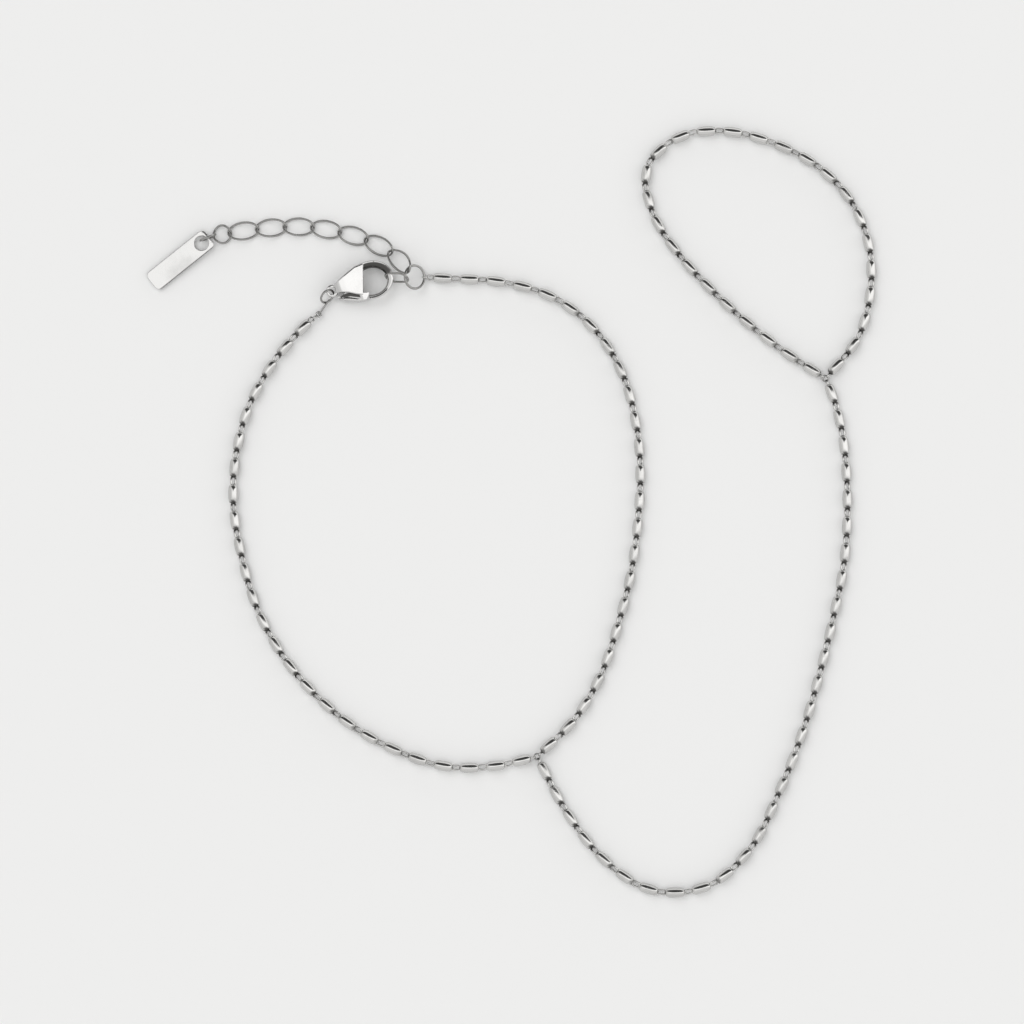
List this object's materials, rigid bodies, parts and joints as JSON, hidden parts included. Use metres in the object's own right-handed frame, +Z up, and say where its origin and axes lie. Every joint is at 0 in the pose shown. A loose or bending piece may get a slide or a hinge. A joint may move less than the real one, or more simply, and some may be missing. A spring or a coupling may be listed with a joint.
{
  "type": "hand chain",
  "caption": "Steel hand chain laid flat: a wrist chain with lobster clasp, extender and tag, joined by a chain over the hand to a finger loop.",
  "frame": {"origin": "middle of the chain's outline seen from above, on the surface that it lies on", "axes": "+Z up from the surface, +Y from the wrist chain's far side towards the clasp, +X from the wrist loop towards the finger loop"},
  "size_m": [0.087, 0.092, 0.0027],
  "materials": {
    "chain_steel": "polished, slightly worn by wear",
    "wire_steel": "bright drawn wire",
    "clasp_steel": "high polish",
    "tag_steel": "polished, bare face"
  },
  "bodies": {
    "chain": {"wrist_chain_left": "chain_steel", "wrist_chain_right": "chain_steel", "hand_chain": "chain_steel", "finger_loop_chain": "chain_steel", "clasp_body": "clasp_steel", "clasp_ring": "wire_steel", "tail_link": "wire_steel", "catch_link": "wire_steel", "end_ring": "wire_steel", "extender_link_01": "wire_steel", "extender_link_02": "wire_steel", "extender_link_03": "wire_steel", "extender_link_04": "wire_steel", "extender_link_05": "wire_steel", "extender_link_06": "wire_steel", "extender_link_07": "wire_steel", "extender_end_ring": "wire_steel", "tag_ring": "wire_steel", "wrist_junction_ring": "wire_steel", "finger_junction_ring": "wire_steel", "tag": "tag_steel"},
    "lever": {"clasp_lever": "clasp_steel"}
  },
  "joints": [
    {"name": "lever_turn", "type": "hinge", "parent": "chain", "child": "lever", "pos_m": [-0.01944, 0.02659, 0.0011], "axis": [0, 0, 1], "range_deg": [0, 28], "stiffness_Nm_per_rad": 0.002, "springref_deg": -17.19}
  ]
}
